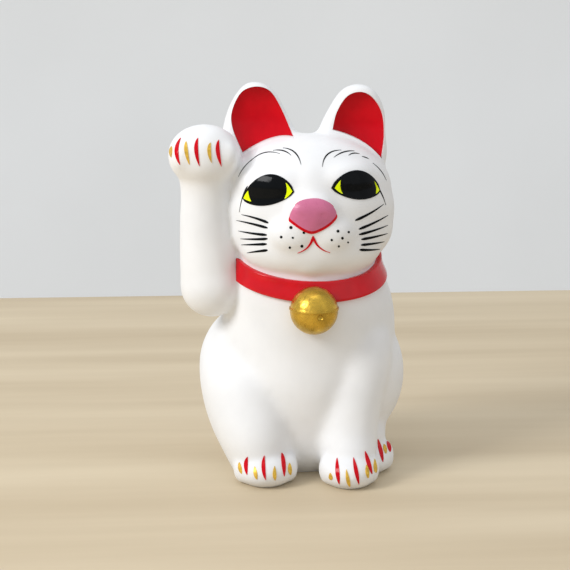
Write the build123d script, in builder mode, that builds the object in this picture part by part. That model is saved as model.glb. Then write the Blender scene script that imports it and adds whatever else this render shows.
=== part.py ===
"""A beckoning cat coin bank, slip-cast in white clay and painted by hand.

The casting is hollow, with a coin slot in the back of the head and a stopper in the base. The raised
arm and the tail are made apart and luted on, the collar and the bell are applied over them, and each
painted detail is a film of enamel that lies on the clay. +Z is up, the cat faces -Y, and the origin is
the middle of the box that holds it, on the surface that it stands on.
"""

from build123d import *
from math import cos, radians, sin
import os

# ---- Driving dimensions, in millimetres and degrees ------------------------------------------------

height = 152.4              # shelf to the higher ear tip
half_width = 47.0           # origin to the outer side of the paw, and to that of the left haunch
half_depth = 44.0           # origin to the toes, and to the tail
spine_x = 6.0               # the body's own middle plane
wall = 4.0                  # thickness of the casting

head_drop = 47.4            # ear tips to the middle of the head, which carries the face and the slot
rump_inset = 3.0            # the rump lies this far inside the tail's outer side
floor_width, floor_depth, floor_inset = 57.0, 58.0, 5.0   # the trunk where it meets the shelf
ankle_width, ankle_depth, ankle_inset, ankle_z = 64.0, 65.0, 1.0, 13.0
hip_width, hip_depth, hip_z = 73.0, 68.0, 34.0
chest_width, chest_depth, chest_drop, chest_y = 71.0, 59.0, 16.0, -1.0
neck_width, neck_depth, neck_drop, neck_y = 58.0, 52.0, 25.0, -2.5
nape_width, nape_depth, nape_drop, nape_y = 50.0, 44.0, 11.0, -4.0

haunch_width, haunch_depth, haunch_height, haunch_z = 46.0, 54.0, 56.0, 33.0
haunch_y, haunch_setback, haunch_lift = -2.0, 4.0, 2.0    # the left one sits further back, and higher
foreleg_x, foreleg_y, foreleg_width, foreleg_top = 18.0, -21.5, 20.0, 66.0
foot_height, foot_sink = 15.0, 5.0                        # a foot's top, and its middle
forefoot_x, forefoot_width, forefoot_heel_y = 22.0, 21.5, -19.6
right_foot_x, right_foot_width, right_heel_y, right_toe_y = -9.8, 25.0, -13.5, -40.5
left_foot_x, left_foot_width, left_heel_y, left_toe_y = 30.5, 21.0, 1.0, -27.0

head_x, head_y = 7.8, -5.0
head_width, head_depth, head_height = 66.5, 55.0, 54.0
jaw_y, jaw_drop, jaw_width, jaw_depth, jaw_height = -14.0, 12.0, 49.0, 36.0, 29.0
muzzle_spread, muzzle_y, muzzle_drop = 6.4, -29.5, 7.0
muzzle_width, muzzle_depth, muzzle_height = 18.0, 15.0, 15.0
ear_spread, ear_y, ear_width, ear_thickness, ear_height = 19.3, 1.0, 26.0, 14.0, 41.0
ear_drop = 1.0              # the left ear stands this much lower
scoop_width, scoop_depth, scoop_height = 21.5, 5.0, 28.0
scoop_rim, scoop_lean = 3.4, 0.6    # clay left over the scoop, and its way out from the ear's middle

arm_y = -8.0
elbow_radius, elbow_drop, elbow_inset = 12.4, 6.8, 4.2    # below the collar's middle
wrist_radius, wrist_drop, wrist_inset = 9.2, 14.9, 5.2    # below the paw's middle
forearm_waist, wrist_lead = 0.6, 1.0                      # slimmer halfway up, then bending forward
paw_width, paw_depth, paw_height, paw_rise, paw_lead = 27.0, 24.0, 23.0, 20.9, 4.0
arm_wall = 3.5
vent_radius = 3.0           # joins the hollow of the arm to that of the body

tail_radius, tail_reach, tail_rise = 5.5, 13.0, 27.0
tail_bow_out, tail_bow_up = 0.75, 0.65                    # shares of its reach and rise at the bend

collar_thickness, collar_height, collar_tilt = 2.4, 8.6, 14.0
collar_x, collar_y, collar_drop = 7.0, -3.0, 24.0
collar_lip = 0.6            # how far the collar stands past the clay that it is laid round
collar_proud_x, collar_proud_y = 1.0, 2.5                 # past the neck's oval, to its outer face
bell_radius, bell_drop, bell_lead, bell_shift = 9.1, 11.4, 2.0, 0.2   # from the collar's middle
bell_band_width, bell_band_proud, bell_band_rise = 1.6, 0.45, 1.6
bell_hole_radius, bell_hole_depth, bell_hole_drop = 1.1, 2.5, 20.0

slot_length, slot_width, slot_rise = 34.0, 4.8, 7.0       # takes a coin of up to 32 by 4
recess_gap, recess_depth = 2.3, 3.0                       # the underside, inside its foot ring
hole_radius, hole_depth = 15.0, 4.5                       # the stopper's hole in the floor
plug_clearance, flange_overlap, flange_thickness = 0.05, 3.2, 1.6
plug_wall, plug_stand, plug_chamfer, grip_width = 2.4, 1.5, 0.8, 3.2

enamel = 0.4                # thickness of a painted film
face_turn, face_lift, face_roll = -4.0, 11.0, 2.5         # how the face is set on the body
face_x, face_y, face_rise = 7.2, -31.0, 10.3              # midway between the eyes
brush_reach = 40.0          # how deep a painted outline is carried to meet the clay

eye_inner, eye_outer, eye_top, eye_bottom = (6.9, -1.1), (26.2, -2.4), (16.9, 5.7), (17.2, -5.5)
pupil_centre, pupil_width, pupil_height = (17.1, 0.1), 14.0, 11.6
lid_line = 0.6              # black left round the yellow corners
nose_width, nose_depth, nose_height = 17.4, 10.0, 12.4
nose_shift, nose_y, nose_drop = -0.6, -34.2, 8.6
whisker_count, whisker_root, whisker_tip = 6, (17.4, -13.0), (28.4, -9.0)   # the ends of the highest
root_width, root_gap, tip_width, tip_gap, tip_step = 0.8, 2.2, 0.35, 3.08, 0.35
spots = [(8.6, -14.8), (4.2, -16.8), (12.2, -17.9), (8.0, -18.6), (9.2, -22.0), (5.0, -21.6)]
brows = [
    ((4.2, 8.6), (6.7, 13.0), (10.8, 15.2)),
    ((8.0, 12.0), (11.3, 14.0), (15.7, 14.8)),
    ((13.2, 12.9), (21.5, 12.4), (28.2, 4.6)),
]
lip = ((0.4, -18.6), (2.6, -22.2), (6.0, -24.4))
spot_radius, brow_line, lip_line = 0.5, 0.55, 0.9

stripe_width, stripe_length, stripe_rise = 1.6, 9.6, 7.0  # red, between the toes
claw_width, claw_length, claw_rise = 1.8, 6.4, 3.9        # gold, on the toes
paw_stripes, paw_claws = (-8.2, -1.4, 6.6), (-4.9, 3.0)   # across, from the paw's middle
paw_paint_rise = 1.7
foot_stripes, foot_claws = (-0.24, 0.02, 0.27), (-0.36, -0.11, 0.15, 0.38)    # shares of the width
left_foot_stripes, left_foot_claws, left_foot_rise = (0.24, 0.42), (0.33,), 0.8

# ---- Levels and places that follow from them ---------------------------------------------------------

head_z = height - head_drop
jaw_z, muzzle_z = head_z - jaw_drop, head_z - muzzle_drop
face_z, slot_z = head_z + face_rise, head_z + slot_rise
nape_z, neck_z = head_z - nape_drop, head_z - neck_drop
chest_z = neck_z - chest_drop
collar_z = head_z - collar_drop
collar_half_width, collar_half_depth = neck_width / 2 + collar_proud_x, neck_depth / 2 + collar_proud_y
bell_z, elbow_z = collar_z - bell_drop, collar_z - elbow_drop
paw_z = head_z + paw_rise
wrist_z = paw_z - wrist_drop

rump_y = half_depth - rump_inset
floor_y = rump_y - floor_inset - floor_depth / 2
floor_top = recess_depth + hole_depth
flange_radius = hole_radius + flange_overlap
recess_radius = flange_radius + recess_gap

feet_plan = [               # middle, width, toe and heel of each foot on the shelf
    (forefoot_x, forefoot_width, enamel - half_depth, forefoot_heel_y),
    (right_foot_x, right_foot_width, right_toe_y, right_heel_y),
    (left_foot_x, left_foot_width, left_toe_y, left_heel_y),
]


# ---- Shapes that several pieces share --------------------------------------------------------------


def ellipsoid(centre, sizes, grow=0.0):
    """A ball stretched to three full sizes, thicker by grow all round."""
    with BuildPart() as ball:
        Sphere(1)
        scale(by=tuple(size / 2 + grow for size in sizes))
    return ball.part.moved(Location(centre))


def trunk(grow=0.0):
    """The body from the shelf to the nape, through six oval levels."""
    levels = [
        (0, floor_y, floor_width, floor_depth),
        (ankle_z, rump_y - ankle_inset - ankle_depth / 2, ankle_width, ankle_depth),
        (hip_z, rump_y - hip_depth / 2, hip_width, hip_depth),
        (chest_z, chest_y, chest_width, chest_depth),
        (neck_z, neck_y, neck_width, neck_depth),
        (nape_z, nape_y, nape_width, nape_depth),
    ]
    with BuildPart() as form:
        for z, y, width, depth in levels:
            with BuildSketch(Plane.XY.offset(z)):
                with Locations((spine_x, y)):
                    Ellipse(width / 2 + grow, depth / 2 + grow)
        loft()
    return form.part


def haunches(grow=0.0):
    """The right and the left thigh."""
    sizes = (haunch_width, haunch_depth, haunch_height)
    right_x = 2 * spine_x - half_width + haunch_width / 2
    left_x = half_width - haunch_width / 2
    return [
        ellipsoid((right_x, haunch_y, haunch_z), sizes, grow),
        ellipsoid((left_x, haunch_y + haunch_setback, haunch_z + haunch_lift), sizes, grow),
    ]


def feet(grow=0.0):
    """The forefoot, the right hind foot and the left hind foot."""
    tall = 2 * (foot_height - foot_sink)
    return [
        ellipsoid((x, (toe + heel) / 2, foot_sink), (width, heel - toe, tall), grow)
        for x, width, toe, heel in feet_plan
    ]


def head(grow=0.0):
    """Skull, jaw and the two cushions of the muzzle."""
    forms = [
        ellipsoid((head_x, head_y, head_z), (head_width, head_depth, head_height), grow),
        ellipsoid((head_x, jaw_y, jaw_z), (jaw_width, jaw_depth, jaw_height), grow),
    ]
    for side in (-1, 1):
        centre = (face_x + side * muzzle_spread, muzzle_y, muzzle_z)
        forms.append(ellipsoid(centre, (muzzle_width, muzzle_depth, muzzle_height), grow))
    return forms


def ear(side):
    """An ear: side -1 is the cat's right, 1 its left."""
    drop = ear_drop if side > 0 else 0
    centre = (head_x + side * ear_spread, ear_y, height - drop - ear_height / 2)
    return ellipsoid(centre, (ear_width, ear_thickness, ear_height))


def scoop(side, grow=0.0):
    """The hollow in the front of an ear, as deep as scoop_depth."""
    drop = ear_drop if side > 0 else 0
    top = height - drop - scoop_rim
    x = head_x + side * (ear_spread + scoop_lean)
    centre = (x, ear_y - ear_thickness / 2, top - scoop_height / 2)
    return ellipsoid(centre, (scoop_width, 2 * scoop_depth, scoop_height), grow)


paw_sizes = (paw_width, paw_depth, paw_height)
paw_centre = (paw_width / 2 - half_width, arm_y - paw_lead, paw_z)


def arm_form(grow=0.0):
    """Elbow, forearm and paw."""
    elbow_x = elbow_radius - half_width + elbow_inset
    wrist_x = wrist_radius - half_width + wrist_inset
    waist_radius = (elbow_radius + wrist_radius) / 2 - forearm_waist
    rings = [
        (elbow_z, elbow_x, arm_y, elbow_radius),
        ((elbow_z + wrist_z) / 2, (elbow_x + wrist_x) / 2, arm_y, waist_radius),
        (wrist_z, wrist_x, arm_y - wrist_lead, wrist_radius),
        (paw_z, wrist_x, arm_y - 2 * wrist_lead, wrist_radius - 1),
    ]
    with BuildPart() as forearm:
        for z, x, y, radius in rings:
            with BuildSketch(Plane.XY.offset(z)):
                with Locations((x, y)):
                    Circle(radius + grow)
        loft()
    elbow = ellipsoid((elbow_x, arm_y, elbow_z), [2 * elbow_radius] * 3, grow)
    return [forearm.part, elbow, ellipsoid(paw_centre, paw_sizes, grow)]


os.makedirs("parts", exist_ok=True)

# ---- Outer skins: the casting and the arm, solid -------------------------------------------------------

tilt = radians(collar_tilt)
collar_plane = Plane(
    origin=(collar_x, collar_y, collar_z), x_dir=(1, 0, 0), z_dir=(0, -sin(tilt), cos(tilt))
)
seat_size = (collar_half_width - collar_thickness, collar_half_depth - collar_thickness)

with BuildPart() as skin:
    add(trunk())
    add([*haunches(), *feet(), *head(), ear(-1), ear(1)])
    add(ellipsoid((foreleg_x, foreleg_y, foreleg_top / 2), (foreleg_width, foreleg_width, foreleg_top)))
    with BuildSketch(collar_plane.offset(-collar_height / 2 + collar_lip)):
        Ellipse(*seat_size)
    extrude(amount=collar_height - 2 * collar_lip)
    split(bisect_by=Plane.XY, keep=Keep.TOP)

with BuildPart() as arm_skin:
    add(arm_form())

# ---- Collar ----------------------------------------------------------------------------------------

with BuildPart() as collar:
    with BuildSketch(collar_plane.offset(-collar_height / 2)):
        Ellipse(collar_half_width, collar_half_depth)
        Ellipse(*seat_size, mode=Mode.SUBTRACT)
    extrude(amount=collar_height)
    add(arm_skin.part, mode=Mode.SUBTRACT)
collar.part.label = "collar"
export_step(collar.part, "parts/collar.step")

# ---- Body casting ----------------------------------------------------------------------------------

with BuildPart() as hollow:
    add(trunk(-wall))
    add([*haunches(-wall), *head(-wall)])
    split(bisect_by=Plane.XY.offset(floor_top), keep=Keep.TOP)

with BuildPart() as body_casting:
    add(skin.part)
    add(hollow.part, mode=Mode.SUBTRACT)
    add([scoop(-1), scoop(1), collar.part], mode=Mode.SUBTRACT)
    with BuildSketch(Plane.XY):
        with Locations((spine_x, floor_y)):
            Circle(recess_radius)
    extrude(amount=recess_depth, mode=Mode.SUBTRACT)
    with BuildSketch(Plane.XY):
        with Locations((spine_x, floor_y)):
            Circle(hole_radius)
    extrude(amount=floor_top, mode=Mode.SUBTRACT)
    with BuildSketch(Plane.XZ.offset(-head_y)):
        with Locations((head_x, slot_z)):
            SlotOverall(slot_length, slot_width)
    extrude(amount=-head_depth, mode=Mode.SUBTRACT)
    with BuildSketch(Plane.YZ.offset(spine_x - chest_width / 2 - wall)):
        with Locations((arm_y, elbow_z)):
            Circle(vent_radius)
    extrude(amount=4 * wall, mode=Mode.SUBTRACT)
body_casting.part.label = "body_casting"
export_step(body_casting.part, "parts/body_casting.step")

# ---- Raised arm and tail ----------------------------------------------------------------------------

with BuildPart() as arm_hollow:
    add(arm_form(-arm_wall))

with BuildPart() as raised_arm:
    add(arm_skin.part)
    add(arm_hollow.part, mode=Mode.SUBTRACT)
    add(skin.part, mode=Mode.SUBTRACT)
raised_arm.part.label = "raised_arm"
export_step(raised_arm.part, "parts/raised_arm.step")

tail_y = half_depth - tail_radius
tail_root, tail_bend, tail_tip = (
    (spine_x + tail_reach, tail_y, tail_radius),
    (spine_x + tail_bow_out * tail_reach, tail_y, tail_bow_up * tail_rise),
    (spine_x, tail_y, tail_rise),
)
with BuildPart() as tail:
    with BuildLine() as tail_path:
        ThreePointArc(tail_root, tail_bend, tail_tip)
    with BuildSketch(Plane(origin=tail_root, z_dir=tail_path.line % 0)):
        Circle(tail_radius)
    sweep()
    with Locations(tail_root, tail_tip):
        Sphere(tail_radius)
    add(skin.part, mode=Mode.SUBTRACT)
    split(bisect_by=Plane.XY, keep=Keep.TOP)
tail.part.label = "tail"
export_step(tail.part, "parts/tail.step")

# ---- Bell -------------------------------------------------------------------------------------------

bell_y = collar_y - collar_half_depth * cos(tilt) - bell_lead
bell_centre = (collar_x + bell_shift, bell_y, bell_z)
hole_aim = (0, -cos(radians(bell_hole_drop)), -sin(radians(bell_hole_drop)))
hole_floor = Plane(origin=bell_centre, z_dir=hole_aim).offset(bell_radius - bell_hole_depth)
with BuildPart() as bell:
    with Locations(bell_centre):
        Sphere(bell_radius)
        with Locations((0, 0, bell_band_rise)):
            Cylinder(bell_radius + bell_band_proud, bell_band_width)
    with BuildSketch(hole_floor):
        Circle(bell_hole_radius)
    extrude(amount=2 * bell_hole_depth, mode=Mode.SUBTRACT)
    add([skin.part, collar.part], mode=Mode.SUBTRACT)
bell.part.label = "bell"
export_step(bell.part, "parts/bell.step")

# ---- Face: films of enamel on the head, drawn on a plane that lies across the eyes --------------------

turn, lift = radians(face_turn), radians(face_lift)
face_plane = Plane(
    origin=(face_x, face_y, face_z),
    x_dir=(cos(turn), sin(turn), 0),
    z_dir=(sin(turn) * cos(lift), -cos(turn) * cos(lift), sin(lift)),
).rotated((0, 0, face_roll))
brush_plane = face_plane.offset(brush_reach / 2)

with BuildPart() as head_film:
    add(head(enamel))
    add([skin.part, arm_skin.part], mode=Mode.SUBTRACT)


def mirrored(point, side):
    """A point of the face, on one side of its middle."""
    return (side * point[0], point[1])


def almond(side):
    """The outline of an eye."""
    inner, outer = mirrored(eye_inner, side), mirrored(eye_outer, side)
    with BuildSketch() as outline:
        with BuildLine():
            ThreePointArc(inner, mirrored(eye_top, side), outer)
            ThreePointArc(outer, mirrored(eye_bottom, side), inner)
        make_face()
    return outline.sketch


def yellow(side):
    """The yellow of an eye: its outline, inside the lid line, less the pupil."""
    with BuildSketch() as corners:
        add(offset(almond(side), amount=-lid_line))
        with Locations(mirrored(pupil_centre, side)):
            Ellipse(pupil_width / 2, pupil_height / 2, mode=Mode.SUBTRACT)
    return corners.sketch


with BuildPart() as yellow_corners:
    for side in (-1, 1):
        with BuildSketch(brush_plane):
            add(yellow(side))
        extrude(amount=-brush_reach)
    add(head_film.part, mode=Mode.INTERSECT)
yellow_corners.part.label = "eye_corners"
export_step(yellow_corners.part, "parts/eye_corners.step")

for side, node in ((-1, "right_eye"), (1, "left_eye")):
    with BuildPart() as eye:
        with BuildSketch(brush_plane):
            add(almond(side))
            add(yellow(side), mode=Mode.SUBTRACT)
        extrude(amount=-brush_reach)
        add(head_film.part, mode=Mode.INTERSECT)
    eye.part.label = node
    export_step(eye.part, f"parts/{node}.step")

with BuildPart() as nose:
    nose_centre = (face_x + nose_shift, nose_y, face_z - nose_drop)
    add(ellipsoid(nose_centre, (nose_width, nose_depth, nose_height)))
    add(skin.part, mode=Mode.SUBTRACT)
nose.part.label = "nose"
export_step(nose.part, "parts/nose.step")

with BuildPart() as whiskers:
    with BuildSketch(brush_plane):
        for side in (-1, 1):
            for i in range(whisker_count):
                root = Vector(side * whisker_root[0], whisker_root[1] - root_gap * i)
                tip = Vector(side * (whisker_tip[0] - tip_step * i), whisker_tip[1] - tip_gap * i)
                across = (tip - root).normalized().rotate(Axis.Z, 90)
                Polygon(
                    root + across * root_width / 2,
                    root - across * root_width / 2,
                    tip - across * tip_width / 2,
                    tip + across * tip_width / 2,
                    align=None,
                )
    extrude(amount=-brush_reach)
    add(head_film.part, mode=Mode.INTERSECT)
whiskers.part.label = "whiskers"
export_step(whiskers.part, "parts/whiskers.step")

with BuildPart() as muzzle_spots:
    with BuildSketch(brush_plane):
        for side in (-1, 1):
            for spot in spots:
                with Locations(mirrored(spot, side)):
                    Circle(spot_radius)
    extrude(amount=-brush_reach)
    add(head_film.part, mode=Mode.INTERSECT)
    add(nose.part, mode=Mode.SUBTRACT)
muzzle_spots.part.label = "muzzle_spots"
export_step(muzzle_spots.part, "parts/muzzle_spots.step")

with BuildPart() as brow_strokes:
    with BuildSketch(brush_plane):
        for side in (-1, 1):
            for brow in brows:
                with BuildLine() as stroke:
                    ThreePointArc(*[mirrored(point, side) for point in brow])
                trace(stroke.line, line_width=brow_line)
    extrude(amount=-brush_reach)
    add(head_film.part, mode=Mode.INTERSECT)
brow_strokes.part.label = "brow_strokes"
export_step(brow_strokes.part, "parts/brow_strokes.step")

with BuildPart() as mouth_line:
    with BuildSketch(brush_plane):
        for side in (-1, 1):
            with BuildLine() as stroke:
                ThreePointArc(*[mirrored(point, side) for point in lip])
            trace(stroke.line, line_width=lip_line)
    extrude(amount=-brush_reach)
    add(head_film.part, mode=Mode.INTERSECT)
mouth_line.part.label = "mouth_line"
export_step(mouth_line.part, "parts/mouth_line.step")

for side, node in ((-1, "right_inner_ear"), (1, "left_inner_ear")):
    with BuildPart() as inner_ear:
        add(skin.part)
        add(scoop(side), mode=Mode.INTERSECT)
        add(scoop(side, -enamel), mode=Mode.SUBTRACT)
        add(arm_skin.part, mode=Mode.SUBTRACT)
    inner_ear.part.label = node
    export_step(inner_ear.part, f"parts/{node}.step")

# ---- Claws and toe lines ------------------------------------------------------------------------------

with BuildPart() as foot_film:
    add(feet(enamel))
    add([skin.part, tail.part], mode=Mode.SUBTRACT)

with BuildPart() as paw_film:
    add(ellipsoid(paw_centre, paw_sizes, enamel))
    add([skin.part, arm_skin.part], mode=Mode.SUBTRACT)

front_plane = Plane.XZ.offset(half_depth + 1)
red_places = [(paw_centre[0] + dx, paw_z + paw_paint_rise) for dx in paw_stripes]
gold_places = [(paw_centre[0] + dx, paw_z + paw_paint_rise) for dx in paw_claws]
painted_feet = [
    (forefoot_x, forefoot_width, foot_stripes, foot_claws, 0),
    (right_foot_x, right_foot_width, foot_stripes, foot_claws, 0),
    (left_foot_x, left_foot_width, left_foot_stripes, left_foot_claws, left_foot_rise),
]
for middle, width, reds, golds, rise in painted_feet:
    red_places += [(middle + width * share, stripe_rise + rise) for share in reds]
    gold_places += [(middle + width * share, claw_rise + rise) for share in golds]

for node, places, width, length in (
    ("toe_lines", red_places, stripe_width, stripe_length),
    ("claws", gold_places, claw_width, claw_length),
):
    with BuildPart() as strokes:
        with BuildSketch(front_plane):
            with Locations(*places):
                Ellipse(width / 2, length / 2)
        extrude(amount=-half_depth)
        add([foot_film.part, paw_film.part], mode=Mode.INTERSECT)
    strokes.part.label = node
    export_step(strokes.part, f"parts/{node}.step")

# ---- Stopper ------------------------------------------------------------------------------------------

plug_radius = hole_radius - plug_clearance
flange_bottom = recess_depth - flange_thickness
plug_top = floor_top + plug_stand
with BuildPart() as base_plug:
    with BuildSketch(Plane.XY.offset(flange_bottom)):
        with Locations((spine_x, floor_y)):
            Circle(flange_radius)
    extrude(amount=flange_thickness)
    with BuildSketch(Plane.XY.offset(recess_depth)):
        with Locations((spine_x, floor_y)):
            Circle(plug_radius)
    extrude(amount=plug_top - recess_depth)
    chamfer(base_plug.faces().sort_by(Axis.Z).last.edges(), plug_chamfer)
    with BuildSketch(Plane.XY.offset(flange_bottom)):
        with Locations((spine_x, floor_y)):
            Circle(plug_radius - plug_wall)
            Rectangle(2 * plug_radius, grip_width, mode=Mode.SUBTRACT)
    extrude(amount=plug_top - plug_wall - flange_bottom, mode=Mode.SUBTRACT)
base_plug.part.label = "base_plug"
export_step(base_plug.part, "parts/base_plug.step")
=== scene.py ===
"""A beckoning cat coin bank: matt white clay, painted by hand in red, gold, pink, yellow and black.

Run as a script, this shapes the clay from eggs and rings that are fused and softened, cuts its openings,
and lays each painted detail on it as a thin film of enamel. Lengths are in millimetres in the cat's own
frame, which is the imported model's: +Z up, the cat faces -Y, and the shelf is at zero.
"""

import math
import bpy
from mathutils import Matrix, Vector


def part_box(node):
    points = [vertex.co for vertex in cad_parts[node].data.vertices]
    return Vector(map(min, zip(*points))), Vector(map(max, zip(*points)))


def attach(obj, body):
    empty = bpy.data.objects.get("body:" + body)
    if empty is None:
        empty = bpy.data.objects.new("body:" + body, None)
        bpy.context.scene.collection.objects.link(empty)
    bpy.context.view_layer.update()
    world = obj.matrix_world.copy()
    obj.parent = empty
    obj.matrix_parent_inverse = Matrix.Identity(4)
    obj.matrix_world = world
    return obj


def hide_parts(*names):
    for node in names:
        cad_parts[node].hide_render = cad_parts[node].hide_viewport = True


bl_info = {
    "name": "Beckoning Cat Coin Bank",
    "version": (1, 0, 0),
    "blender": (4, 5, 0),
    "location": "3D View > Sidebar > Cat Bank",
    "description": "Shapes and paints a ceramic beckoning cat with a coin slot and a stopper",
    "category": "Object",
}

import bpy
from bpy.props import FloatProperty, FloatVectorProperty, IntProperty, PointerProperty
from mathutils import Vector

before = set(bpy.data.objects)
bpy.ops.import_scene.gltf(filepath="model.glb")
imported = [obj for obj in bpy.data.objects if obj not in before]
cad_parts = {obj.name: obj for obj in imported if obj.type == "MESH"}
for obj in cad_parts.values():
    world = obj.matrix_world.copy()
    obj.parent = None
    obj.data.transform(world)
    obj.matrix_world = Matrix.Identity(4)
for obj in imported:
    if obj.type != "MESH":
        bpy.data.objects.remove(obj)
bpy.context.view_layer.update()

MM = 0.001


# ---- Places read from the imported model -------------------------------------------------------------


def node_box(node):
    """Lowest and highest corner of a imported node, in millimetres."""
    low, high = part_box(node)
    return low / MM, high / MM


body_low, body_high = node_box("body_casting")
arm_low, arm_high = node_box("raised_arm")
bell_low, bell_high = node_box("bell")
collar_high = node_box("collar")[1]
plug_low, plug_high = node_box("base_plug")
tail_high = node_box("tail")[1]

spine_x = (body_low.x + body_high.x) / 2
plug_x, plug_y = (plug_low.x + plug_high.x) / 2, (plug_low.y + plug_high.y) / 2
head_x = spine_x + 1.8
face_centre = Vector((spine_x + 1.2, -31.0, 115.3))
face_turn, face_lift = math.radians(-4), math.radians(11)
face_right = Vector((math.cos(face_turn), math.sin(face_turn), 0))
face_out = Vector(
    (
        math.sin(face_turn) * math.cos(face_lift),
        -math.cos(face_turn) * math.cos(face_lift),
        math.sin(face_lift),
    )
)
face_up = face_out.cross(face_right)

# Planes that outlines are drawn on: origin, right, up and the way out of the clay.
face = (face_centre, face_right, face_up, face_out)
front = (Vector((0, 0, 0)), Vector((1, 0, 0)), Vector((0, 0, 1)), Vector((0, -1, 0)))


# ---- Sizes and colours that a user would change ------------------------------------------------------


def length(name, description, default):
    """A length that is given in millimetres and kept in metres."""
    return FloatProperty(name=name, description=description, default=default * MM, unit="LENGTH", precision=5)


def colour(name, description, default):
    """A paint colour, in linear light."""
    return FloatVectorProperty(
        name=name, description=description, default=default, subtype="COLOR", size=3, min=0, max=1
    )


class CatClaySettings(bpy.types.PropertyGroup):
    """Sizes of the clay body"""

    grain: length("Grain", "Edge of one facet of the finished clay skin", 0.9)
    wall: length("Wall", "Thickness of the casting", 4.0)
    slot_length: length("Slot length", "Length of the coin slot", 34.0)
    slot_width: length("Slot width", "Height of the coin slot", 4.8)
    soften: IntProperty(name="Soften", description="Passes of smoothing over the fused clay", default=8)


class CatPaintSettings(bpy.types.PropertyGroup):
    """Thickness and colours of the paint"""

    film: length("Film", "How far a coat of enamel stands off the clay", 0.12)
    collar: length("Collar", "How far the collar stands off the neck", 1.7)
    clay: colour("Clay", "White engobe of the body", (0.83, 0.84, 0.855))
    red: colour("Red", "Enamel of the ears, collar and toes", (0.60, 0.0, 0.008))
    pink: colour("Pink", "Enamel of the nose", (0.62, 0.17, 0.31))
    yellow: colour("Yellow", "Enamel of the corners of the eyes", (0.80, 0.98, 0.0))
    black: colour("Black", "Enamel of the eyes and whiskers", (0.003, 0.004, 0.005))
    gold: colour("Gold", "Paint of the bell and the claws", (0.66, 0.42, 0.06))


# ---- Outlines, in millimetres -------------------------------------------------------------------------

# Ears, seen from the front as (x, z): the clay, and the red dish in it.
right_ear = [
    (-26, 121), (-25.6, 133), (-22.6, 143.5), (-17.2, 151.2), (-11.6, 152.6), (-5.4, 149.2),
    (-0.8, 141.2), (3.6, 131), (2, 122),
]
left_ear = [
    (11, 122), (11.6, 132), (16.4, 142.5), (21.4, 149.4), (27.4, 151.6), (33.4, 149.6), (37.4, 143),
    (38.3, 134), (36.6, 119),
]
ear_dishes = {   # over the top from corner to corner, and the middle of the lower edge
    "right_inner_ear": (
        [(-17.9, 125.4), (-21.6, 134.4), (-22.0, 141.2), (-18.4, 148.6), (-12.8, 151.0), (-7.0, 149.2),
         (-2.6, 142.4), (2.0, 131.6)],
        (-6.6, 130.9),
    ),
    "left_inner_ear": (
        [(17.0, 134.2), (18.7, 141.0), (22.6, 147.0), (27.8, 148.8), (32.8, 146.6), (36.7, 140.4),
         (37.6, 131.6), (36.4, 122.8)],
        (28.6, 129.6),
    ),
}

# Painted details, on the plane of the face as (right, up) from midway between the eyes.
eyes = {   # inner corner, outer corner, top, bottom
    "right_eye": ((-7.0, -1.6), (-26.4, -3.6), (-16.8, 5.1), (-17.4, -6.5)),
    "left_eye": ((6.7, -0.1), (25.7, -0.3), (16.9, 6.8), (17.2, -4.2)),
}
yellow_corners = [   # tip, top, the pupil's side, bottom
    ((-26.0, -3.5), (-24.2, -0.7), (-23.8, -2.9), (-23.0, -4.8)),
    ((-7.7, -1.4), (-10.2, 1.9), (-9.8, -1.0), (-10.5, -4.1)),
    ((8.0, -0.1), (10.3, 2.9), (10.1, 0.4), (11.0, -2.2)),
    ((25.2, -0.2), (23.2, 3.0), (23.9, 0.5), (23.8, -1.7)),
]
lashes = [((-24.6, 1.0), (-26.6, -3.2), (-27.8, -8.7)), ((25.2, 0.3), (26.8, -2.6), (28.0, -5.8))]
nose_outline = [
    (0.1, -4.3), (-4.6, -5.2), (-7.4, -7.9), (-8.6, -11.0), (-7.2, -12.6), (-4.0, -14.9), (-0.7, -16.1),
    (2.4, -15.2), (5.6, -13.3), (8.0, -10.8), (8.3, -9.0), (6.4, -6.4), (3.6, -4.8),
]
lips = [((0.0, -18.0), (-1.9, -22.0), (-5.8, -24.3)), ((-0.1, -18.0), (2.2, -22.0), (6.3, -24.1))]
brows = [   # three points and the width of the stroke
    ((-11.3, 15.7), (-6.8, 13.7), (-4.5, 8.8), 0.5),
    ((-15.0, 14.8), (-11.1, 14.5), (-8.2, 12.5), 0.45),
    ((-12.4, 13.3), (-18.4, 14.0), (-23.6, 10.8), 0.36),
    ((-22.4, 12.0), (-26.0, 8.6), (-28.2, 4.9), 0.26),
    ((10.9, 14.9), (5.6, 13.0), (3.5, 8.0), 0.5),
    ((16.0, 14.8), (11.7, 14.1), (7.9, 11.8), 0.45),
    ((17.9, 13.7), (15.5, 13.8), (13.6, 12.8), 0.4),
    ((18.8, 12.7), (20.2, 12.4), (21.5, 11.9), 0.36),
    ((23.0, 10.3), (26.2, 7.5), (28.4, 3.9), 0.26),
]
whiskers = [   # blunt end at the muzzle, bend, fine end
    ((-16.7, -13.0), (-21.6, -11.1), (-27.0, -9.6)),
    ((-17.0, -14.9), (-22.9, -13.2), (-29.0, -11.7)),
    ((-17.3, -17.5), (-22.8, -16.8), (-28.3, -15.7)),
    ((-17.0, -18.9), (-22.1, -19.0), (-27.5, -18.7)),
    ((-17.3, -20.9), (-22.2, -21.0), (-27.2, -21.0)),
    ((-17.0, -23.2), (-20.9, -23.6), (-25.0, -24.1)),
    ((15.9, -12.0), (21.8, -9.1), (27.1, -5.5)),
    ((17.3, -15.3), (23.3, -12.7), (29.0, -9.6)),
    ((17.4, -17.3), (23.3, -15.6), (29.0, -13.4)),
    ((18.3, -19.1), (23.7, -18.0), (29.0, -16.5)),
    ((18.2, -21.2), (23.0, -20.6), (27.7, -19.7)),
    ((17.6, -23.0), (21.8, -23.0), (26.0, -22.6)),
]
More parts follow.
